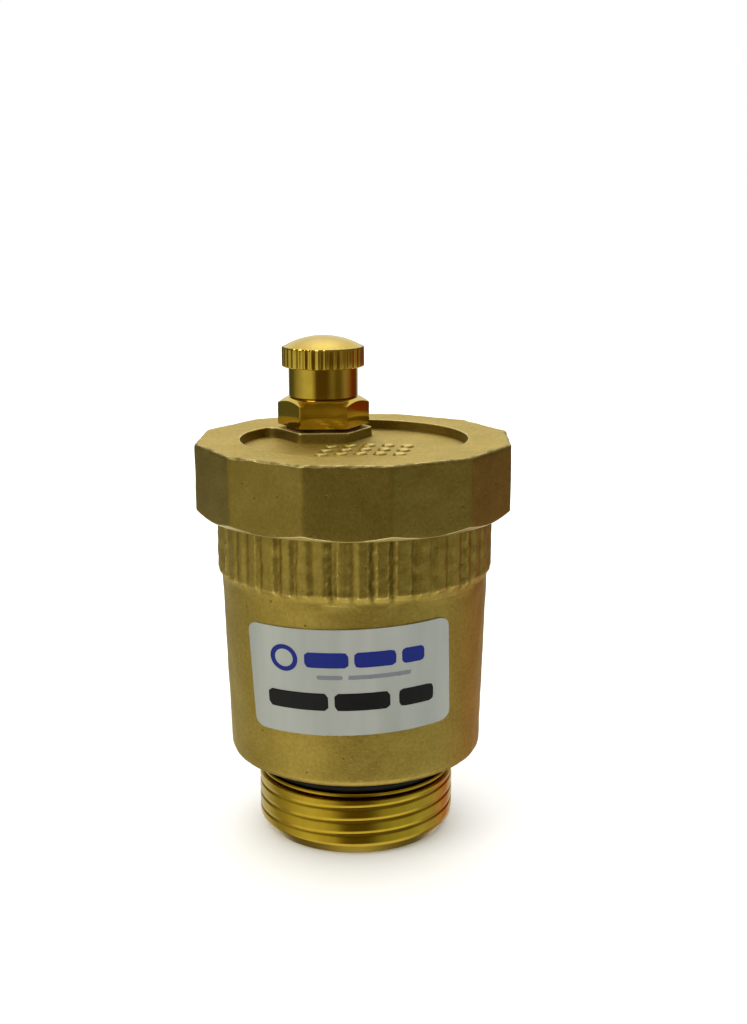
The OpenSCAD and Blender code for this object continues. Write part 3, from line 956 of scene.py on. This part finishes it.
def cover_pad(shell, middle):
    """One raised pad. Returns its outermost ring, on the recess's floor."""
    profile = (
        (PAD_R + 0.3, 0),
        (PAD_R + 0.12, 0.03),
        (PAD_R, PAD_H * 0.6),
        (PAD_R - 0.12, PAD_H * 0.93),
        (PAD_R * 0.5, PAD_H),
    )
    rings = [shell.ring(circle(middle, r, 28), RECESS_Z + up) for r, up in profile]
    shell.walls(rings[:2], TOP)
    shell.walls(rings[1:], PAD)
    shell.faces.append(tuple(int(i) for i in rings[-1]))
    shell.slots.append(PAD)
    return rings[0]


def build_cover():
    """Twelve-sided cover: turned lower chamfer, cast top edge, recess with its boss, threaded cavity."""
    shell = Shell()
    ceiling, top = cover_outside(shell)
    rim_level = shell.points[-1][:, 2].mean()
    shell.points[-1][:, 2] = rim_level
    lip, floor = cover_recess(shell, rim_level)
    pads = [cover_pad(shell, middle) for middle in pad_places()]
    bore = circle(VENT, NOZZLE_R + 0.05, 64)
    bore_low, bore_high = shell.ring(bore, CEILING_Z), shell.ring(bore, rim_level)
    shell.wall(bore_high, bore_low, BORE)

    def uneven(size, seed):
        return lambda p: 0.03 * lumps(p[:, 0], p[:, 1], 0.0, size, seed)

    shell.fill(top, [lip, bore_high], 0.8, TOP, uneven(3.0, 24))
    shell.fill(floor, pads, 0.8, TOP, uneven(2.2, 25))
    shell.fill(ceiling, [bore_low], 2.0, BORE)
    return make_piece(
        "cover_cap", np.vstack(shell.points), shell.faces,
        [CAST_TOP_LIT, TURNED_SHADED, TURNED_RIM_LIT, CAST_SIDE_SHADED, CAST_RAISED_LIT],
        "cover_group", ["cover"], slots=shell.slots,
    )


build_cover()


# ---------------------------------------------------------------- vent valve

def build_valve():
    """Hexagonal vent valve with a threaded nozzle and a spigot below. Turned from hexagonal bar."""
    columns = 240
    angle = column_angles(columns)
    hexagonal = polygon_radius(angle, HEX_R, 6, HEX_TURN, 0.1)
    low_z, high_z = HEX_Z
    hole_low, hole_high = VENT_HOLE_Z
    chamfer = math.tan(math.radians(30))
    upper = high_z - np.maximum(hexagonal - HEX_CONE_R, 0) * chamfer
    rows = [
        (SEAT_BORE_R, SPIGOT_Z),
        (NOZZLE_R - 0.4, SPIGOT_Z),
        (NOZZLE_R - 0.05, SPIGOT_Z + 0.4),
        (NOZZLE_R - 0.05, low_z - 0.1),
        (NOZZLE_R + 0.05, low_z),
        (hexagonal - 0.07, low_z),
        (hexagonal - 0.02, low_z + 0.02),
        (hexagonal, low_z + 0.07),
        (hexagonal, (low_z + upper) / 2),
        (hexagonal, upper - 0.06),
        (hexagonal - 0.03, upper),
    ]
    for share in (0.66, 0.33):
        rows.append((HEX_CONE_R + (hexagonal - HEX_CONE_R) * share, high_z - (high_z - upper) * share))
    rows += [(HEX_CONE_R, high_z - 0.01), (HEX_CONE_R - 0.08, high_z), (NOZZLE_R - 0.35, high_z)]
    for z in spread(high_z + 0.05, NOZZLE_TOP - 0.05, NOZZLE_PITCH / 12):
        r = screw(angle, z, NOZZLE_R, NOZZLE_DEPTH, NOZZLE_PITCH)
        r = smooth_min(r, NOZZLE_R - NOZZLE_DEPTH + (z - high_z) * 0.6, 0.08)
        rows.append((smooth_min(r, NOZZLE_R - 0.4 + (NOZZLE_TOP - z), 0.08), z))
    rows += [
        (NOZZLE_R - 0.5, NOZZLE_TOP),
        (VENT_BORE_R + 0.1, NOZZLE_TOP),
        (VENT_BORE_R, NOZZLE_TOP - 0.1),
        (VENT_BORE_R, hole_high),
        (VENT_HOLE_R, hole_high),
        (VENT_HOLE_R, hole_low),
        (SEAT_BORE_R - 0.1, hole_low - 0.1),
        (SEAT_BORE_R, hole_low - 0.2),
    ]
    points, faces, _ = skin(rows, columns, VENT)
    return make_piece(
        "vent_valve", points, faces, [TURNED_VENT], "cover_group", ["valve_body"],
        sharp=22,
    )


build_valve()


# ---------------------------------------------------------------- dust cap

def build_cap():
    """Dust cap: smooth skirt, straight knurls round the head, and a crowned top."""
    columns = KNURLS * 12
    angle = column_angles(columns)
    rng = np.random.default_rng(31)
    phase = (angle * KNURLS / TAU) % 1
    knurls = np.arange(KNURLS + 1) * TAU / KNURLS
    strength = np.interp(angle, knurls, rng.uniform(0.8, 1.0, KNURLS + 1))
    valley = np.abs(np.cos(phase * math.pi)) ** 1.6 * strength

    def knurled(r, share):
        return r - KNURL_DEPTH * valley * share

    bottom = CAP_LOW[2]
    rows = [
        (CAP_BORE_R + 0.15, bottom),
        (SKIRT_R - 0.15, bottom),
        (SKIRT_R, bottom + 0.15),
        (SKIRT_R, bottom + 1.6),
        (SKIRT_R, HEAD_Z - 0.2),
        (SKIRT_R, HEAD_Z - 0.08),
        (SKIRT_R + 0.06, HEAD_Z),
        (HEAD_R - 0.35, HEAD_Z),
    ]
    head_from = len(rows) - 1
    rows += [
        (knurled(HEAD_R - 0.12, 0.9), HEAD_Z + 0.02),
        (knurled(HEAD_R - 0.02, 1.0), HEAD_Z + 0.1),
        (knurled(HEAD_R, 1.0), HEAD_Z + 0.2),
        (knurled(HEAD_R, 1.0), (HEAD_Z + DOME_Z) / 2),
        (knurled(HEAD_R, 1.0), DOME_Z - 0.2),
        (knurled(HEAD_R - 0.02, 1.0), DOME_Z - 0.08),
        (knurled(HEAD_R - 0.1, 0.8), DOME_Z + 0.02),
    ]
    head_to = len(rows)
    rise = CAP_TOP - DOME_Z
    edge = HEAD_R - 0.2
    dome_r = (edge**2 + rise**2) / (2 * rise)
    for share in (0.985, 0.95, 0.9, 0.82, 0.72, 0.6, 0.45, 0.3, 0.15):
        r = edge * share
        z = CAP_TOP - dome_r + math.sqrt(dome_r**2 - r**2)
        rows.append((knurled(r, 0.45 * max(0, share - 0.9) / 0.085), z))
    rows.append((0, CAP_TOP))
    through_axis = len(rows) - 1
    rows += [
        (0, CAP_BORE_TOP),
        (CAP_BORE_R - 0.1, CAP_BORE_TOP),
        (CAP_BORE_R, CAP_BORE_TOP - 0.1),
        (CAP_BORE_R, bottom + 0.15),
    ]
    points, faces, face_rows = skin(rows, columns, VENT)
    kept = [(face, row) for face, row in zip(faces, face_rows) if row != through_axis]
    slots = [int(head_from <= row < head_to) for _, row in kept]
    return make_piece(
        "knurled_cap", points, [face for face, _ in kept], [TURNED_VENT, TURNED_KNURL],
        "cap", ["dust_cap"], slots=slots, sharp=34,
    )


build_cap()


# ---------------------------------------------------------------- label

def wrap(flat, lift):
    """Points of the flat label, laid on the body's tapered side at a height above it."""
    u = flat[:, 0] * math.cos(LABEL_TILT) - flat[:, 1] * math.sin(LABEL_TILT)
    v = flat[:, 0] * math.sin(LABEL_TILT) + flat[:, 1] * math.cos(LABEL_TILT)
    z = LABEL_MID + v
    turn = LABEL_TURN + np.arcsin(np.clip(u / side_radius(LABEL_MID), -1, 1))
    r = side_radius(z) + lift
    return np.column_stack([r * np.sin(turn), -r * np.cos(turn), z])


def rounded_rectangle(middle, width, height, corner, steps=6):
    points = []
    for sx, sy, start in ((1, -1, -90), (1, 1, 0), (-1, 1, 90), (-1, -1, 180)):
        x = middle[0] + sx * (width / 2 - corner)
        y = middle[1] + sy * (height / 2 - corner)
        points += arc(x, y, corner, start, start + 90, steps)
    return np.array(points)


def film(name, outlines, lift, thick, gap, material, replaced=None):
    """Thin wrapped pieces, each from an outer outline and the holes in it."""
    shell = Shell()
    for loops in outlines:
        levels = []
        for z in (0.0, thick):
            rings = [shell.ring(loop, z) for loop in loops]
            shell.fill(rings[0], rings[1:], gap)
            levels.append(rings)
        (low, *low_holes), (high, *high_holes) = levels
        shell.wall(low, high)
        for low_hole, high_hole in zip(low_holes, high_holes):
            shell.wall(high_hole, low_hole)
    flat = np.vstack(shell.points)
    points = wrap(flat[:, :2], lift + flat[:, 2])
    return make_piece(name, points, shell.faces, [material], "housing", replaced, sharp=50)


def bar(x0, x1, y, height, corner):
    """Outline of a printed bar, in a list of its own because it has no holes."""
    shape = rounded_rectangle(((x0 + x1) / 2, y), x1 - x0, height, corner)
    return [resample(shape, max(24, int((x1 - x0 + height) / 0.35)))]


def build_label():
    """Film with plain marks in place of print: a ring, blocks and bars that spell nothing."""
    sheet = resample(rounded_rectangle((0, 0), LABEL_W, LABEL_H, LABEL_CORNER, 8), 180)
    film("label_sheet", [[sheet]], LABEL_GAP, LABEL_T, 0.7, label_film(), ["label"])

    top = LABEL_GAP + LABEL_T + 0.004
    ring_mid, ring_out, ring_in = (-7.9, 3.0), 1.75, 1.15
    word_h, small_h, line_h, corner = 2.0, 0.55, 2.3, 0.5
    emblem = [[circle(ring_mid, r, 48) for r in (ring_out, ring_in)]]
    words = [bar(x0, x1, 3.0, word_h, corner) for x0, x1 in ((-5.3, 0.2), (0.9, 6.0), (6.7, 9.4))]
    small = [bar(x0, x1, 0.75, small_h, small_h * 0.475) for x0, x1 in ((-3.9, -0.6), (-0.1, 7.9))]
    lines = [bar(x0, x1, -2.5, line_h, corner) for x0, x1 in ((-10.3, -2.6), (-1.8, 5.1), (6.2, 10.4))]
    film("label_mark", emblem + words, top, INK_T, 0.6, ink("ink_blue", (0.005, 0.012, 0.13)))
    film("label_small_print", small, top, INK_T, 0.5, ink("ink_grey", (0.13, 0.14, 0.16)))
    film("label_line", lines, top, INK_T, 0.6, ink("ink_black", (0.006, 0.006, 0.007)))


build_label()


# ---------------------------------------------------------------- CAD nodes that keep their shape

def finish_node(node, material):
    """Gives a CAD node its material."""
    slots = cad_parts[node].data.materials
    slots.clear()
    slots.append(material)


SHEET = stainless("stainless_sheet", 0.26, (1, 0.05, 1))
WIRE = stainless("stainless_wire", 0.18, (1, 1, 0.05))
PLASTIC = float_plastic()
for node in ("inlet_oring", "cover_oring", "nozzle_oring", "stem_seal"):
    finish_node(node, RUBBER)
finish_node("cap_seal", rubber("cap_seal_rubber", (0.02, 0.017, 0.015)))
finish_node("valve_washer", fibre())
for node in ("lever_bracket", "lever"):
    finish_node(node, SHEET)
for node in ("pivot_pin", "stem_spring", "spring_retainer", "float_link"):
    finish_node(node, WIRE)
for node in ("stem", "seat_nozzle"):
    finish_node(node, TURNED_VENT)
finish_node("float_bush", TURNED_SHADED)
for node in ("float_shell", "float_base"):
    finish_node(node, PLASTIC)


# ---------------------------------------------------------------- studio

def studio_floor():
    """Plain pale floor. It isn't seen in the metal's reflections, which come from the room alone."""
    n = Nodes("studio_floor")
    n.drive(Base_Color=n.ramp(n.noise(60.0, detail=2), (0.3, 0.93), (0.7, 0.95)))
    n.set(Roughness=0.9)
    mesh = bpy.data.meshes.new("floor")
    work = bmesh.new()
    bmesh.ops.create_circle(work, cap_ends=True, segments=64, radius=6.0)
    work.to_mesh(mesh)
    work.free()
    mesh.materials.append(n.material)
    floor = place_object("floor", mesh)
    floor.location.z = -0.02 * MM
    floor.visible_glossy = False


def studio_room():
    """The room's light by direction. At eye level and below it has a wide bright side on the left, a dark gap
    where the photographer stands, a narrower bright side on the right with a warm wall behind it, and a
    bright table far below. The ceiling is bright overhead and dim towards the front."""
    world = bpy.data.worlds.new("studio")
    bpy.context.scene.world = world
    world.use_nodes = True
    world.node_tree.nodes.clear()
    n = NodeTree(world.node_tree)
    split = n.add("ShaderNodeSeparateXYZ")
    n.link(n.add("ShaderNodeTexCoord").outputs["Generated"], split.inputs[0])
    x, y, z = split.outputs
    turn = n.math("ARCTAN2", x, n.math("MULTIPLY", y, -1))
    around = n.math("ADD", n.math("DIVIDE", turn, TAU), 0.5)

    def wall(*stops):
        """Light all the way round. A stop is (degrees from straight ahead, colour)."""
        return n.ramp(around, *((degrees / 360 + 0.5, colour) for degrees, colour in stops))

    def blend(value, start, end, a, b):
        """Goes from a to b while a value rises from start to end."""
        return n.mix(n.ramp(value, (start, 0.0), (end, 1.0), mode="EASE"), a, b)

    level = wall(
        (-180, (0.85, 0.84, 0.70)),
        (-163, (0.45, 0.44, 0.36)),
        (-148, (0.06, 0.06, 0.03)),
        (-118, (0.10, 0.10, 0.05)),
        (-102, (0.26, 0.25, 0.15)),
        (-62, (0.58, 0.56, 0.38)),
        (-38, (0.56, 0.54, 0.30)),
        (-22, (0.08, 0.05, 0.01)),
        (14, (0.08, 0.05, 0.01)),
        (32, (0.20, 0.17, 0.10)),
        (46, (0.11, 0.08, 0.02)),
        (60, (0.11, 0.09, 0.03)),
        (80, (0.30, 0.24, 0.18)),
        (100, (0.20, 0.11, 0.05)),
        (112, (0.16, 0.03, 0.0)),
        (128, (0.14, 0.03, 0.01)),
        (140, (0.06, 0.05, 0.04)),
        (160, (0.45, 0.44, 0.36)),
    )
    low = wall(
        (-180, (0.80, 0.78, 0.66)),
        (-130, (0.70, 0.68, 0.52)),
        (-108, (0.34, 0.30, 0.12)),
        (-90, (0.46, 0.43, 0.28)),
        (-56, (0.84, 0.82, 0.66)),
        (-26, (0.56, 0.52, 0.30)),
        (-14, (0.09, 0.06, 0.0)),
        (18, (0.09, 0.06, 0.0)),
        (30, (0.38, 0.40, 0.28)),
        (86, (0.56, 0.60, 0.50)),
        (104, (0.48, 0.46, 0.34)),
        (118, (0.60, 0.48, 0.32)),
        (134, (0.60, 0.16, 0.06)),
        (146, (0.65, 0.45, 0.32)),
        (160, (0.75, 0.72, 0.60)),
    )
    back = n.math("ADD", n.math("MULTIPLY", y, 0.57), n.math("MULTIPLY", z, 0.82))
    aside = n.math("MULTIPLY", n.math("MULTIPLY", x, x), 0.5)
    ceiling = n.ramp(
        n.math("SUBTRACT", back, aside),
        (0.0, (0.16, 0.14, 0.07)),
        (0.35, (0.10, 0.09, 0.045)),
        (0.52, (0.22, 0.21, 0.14)),
        (0.70, (0.84, 0.82, 0.66)),
        (0.88, (0.84, 0.83, 0.75)),
        (0.94, (1.00, 1.00, 1.10)),
        (1.0, (1.25, 1.27, 1.50)),
    )
    down = n.math("MULTIPLY", z, -1)
    height = n.math("MULTIPLY_ADD", z, 0.5, 0.5)
    front = n.math("MULTIPLY_ADD", y, -0.5, 0.5)
    table = blend(front, 0.37, 0.48, (0.14, 0.12, 0.06), (1.0, 0.96, 0.80))
    room = blend(down, 0.17, 0.36, level, low)
    room = blend(down, 0.54, 0.76, room, table)
    room = blend(height, 0.50, 0.56, room, ceiling)
    seen = n.add("ShaderNodeLightPath").outputs["Is Camera Ray"]
    background = n.add("ShaderNodeBackground")
    n.link(n.mix(seen, room, (1.0, 1.0, 1.0)), background.inputs["Color"])
    output = n.add("ShaderNodeOutputWorld")
    n.link(background.outputs[0], output.inputs["Surface"])


def studio_key():
    """Round soft lamp up on the left, in front."""
    place, target = Vector((-260, -220, 330)), Vector((0, 0, 35))
    lamp = bpy.data.lights.new("key", "AREA")
    lamp.shape = "DISK"
    lamp.size = 220 * MM
    lamp.energy = 0.4
    lamp.color = (1.0, 0.97, 0.92)
    holder = place_object("key", lamp)
    holder.location = place * MM
    holder.rotation_euler = (target - place).to_track_quat("-Z", "Y").to_euler()
    holder.visible_camera = False


def studio_sky():
    """Soft light from all over the ceiling for the matt things: the floor, the label, rubber and plastic."""
    lamp = bpy.data.lights.new("sky", "SUN")
    lamp.energy = 3.2
    lamp.angle = math.radians(150)
    holder = place_object("sky", lamp)
    holder.location.z = 0.5
    holder.visible_glossy = False


def studio_camera():
    """Camera close in front and a little above, looking down, as for a catalogue picture."""
    place = Vector((0.042, -185.508, 84.763))
    pitch, yaw, roll = (math.radians(a) for a in (12.605, 0.7675, -0.136))
    level = Vector((math.sin(yaw), math.cos(yaw), 0))
    ahead = level * math.cos(pitch) - Vector((0, 0, math.sin(pitch)))
    right = Vector((math.cos(yaw), -math.sin(yaw), 0))
    up = right.cross(ahead)
    right, up = right * math.cos(roll) + up * math.sin(roll), up * math.cos(roll) - right * math.sin(roll)
    lens = bpy.data.cameras.new("camera")
    lens.sensor_width = 36
    lens.lens = 50.16
    lens.clip_start = 0.01
    camera = place_object("camera", lens)
    facing = Matrix((right, up, -ahead)).transposed().to_4x4()
    camera.matrix_world = Matrix.Translation(place * MM) @ facing
    bpy.context.scene.camera = camera


studio_floor()
studio_room()
studio_sky()
studio_key()
studio_camera()
bpy.context.scene.view_settings.view_transform = "Standard"
